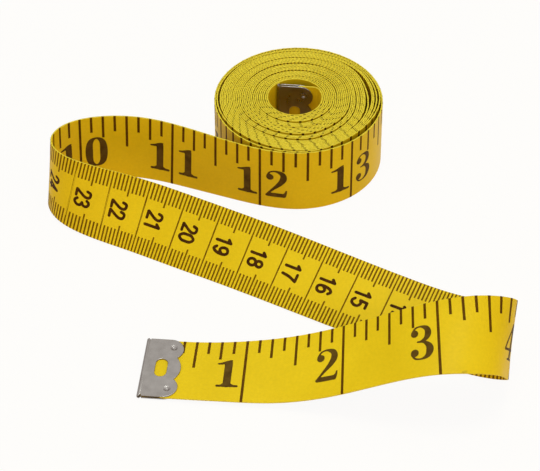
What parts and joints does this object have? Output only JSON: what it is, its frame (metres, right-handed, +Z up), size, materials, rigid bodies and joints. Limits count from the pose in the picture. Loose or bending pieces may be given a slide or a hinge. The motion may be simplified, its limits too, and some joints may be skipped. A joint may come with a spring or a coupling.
{
  "type": "cloth tape measure",
  "caption": "Coiled flexible sewing tape measure with folded metal tips, its free end leaving the coil, looping back and folding over itself.",
  "frame": {"origin": "middle of the whole part in plan, on the surface that the coil stands on", "axes": "+Z up, along the coil's axis; +X to the right and +Y away from the viewer in the picture, so the coil stands at the back and the start tip lies at the front left"},
  "size_m": [0.1186, 0.1264, 0.0279],
  "materials": {
    "coated_tape": "satin yellow coating over woven cloth, printed in dark brown",
    "plated_steel": "satin nickel plate"
  },
  "bodies": {
    "coil": {"tape_coil": "coated_tape"},
    "outgoing": {"outgoing_run": "coated_tape"},
    "loop": {"left_loop": "coated_tape"},
    "return": {"return_run": "coated_tape"},
    "fold": {"right_fold": "coated_tape"},
    "lead": {"leading_run": "coated_tape"},
    "start_end": {"tape_start_end": "coated_tape", "start_tip": "plated_steel"},
    "inner_end": {"tape_inner_end": "coated_tape", "end_tip": "plated_steel"}
  },
  "joints": [
    {"name": "coil_peel", "type": "hinge", "parent": "coil", "child": "outgoing", "pos_m": [0.00085, 0.01891, 0.00951], "axis": [0, 0, 1], "range_deg": [0, 60]},
    {"name": "loop_back_bend", "type": "hinge", "parent": "outgoing", "child": "loop", "pos_m": [-0.04343, 0.03362, 0.00957], "axis": [-0.0182, -0.0242, -0.9995], "range_deg": [0, 50]},
    {"name": "loop_front_bend", "type": "hinge", "parent": "loop", "child": "return", "pos_m": [-0.04486, 0.0097, 0.00923], "axis": [-0.245, -0.3688, -0.8966], "range_deg": [0, 50]},
    {"name": "fold_back_bend", "type": "hinge", "parent": "return", "child": "fold", "pos_m": [0.04593, -0.03606, 0.00538], "axis": [0.3824, 0.7895, 0.4801], "range_deg": [0, 5]},
    {"name": "fold_front_bend", "type": "hinge", "parent": "fold", "child": "lead", "pos_m": [0.04328, -0.05465, 0.02242], "axis": [-0.0411, 0.8891, 0.4559], "range_deg": [0, 50]},
    {"name": "tip_lift", "type": "hinge", "parent": "lead", "child": "start_end", "pos_m": [-0.01666, -0.04558, 0.00163], "axis": [0.1163, 0.9917, 0.0542], "range_deg": [0, 60]},
    {"name": "end_tip_swing", "type": "hinge", "parent": "coil", "child": "inner_end", "pos_m": [0.01367, 0.04501, 0.00951], "axis": [0, 0, 1], "range_deg": [0, 40]}
  ],
  "couplings": [
    {"joint": "loop_front_bend", "follows": "loop_back_bend", "ratio": 1},
    {"joint": "fold_back_bend", "follows": "fold_front_bend", "ratio": 0.1}
  ]
}
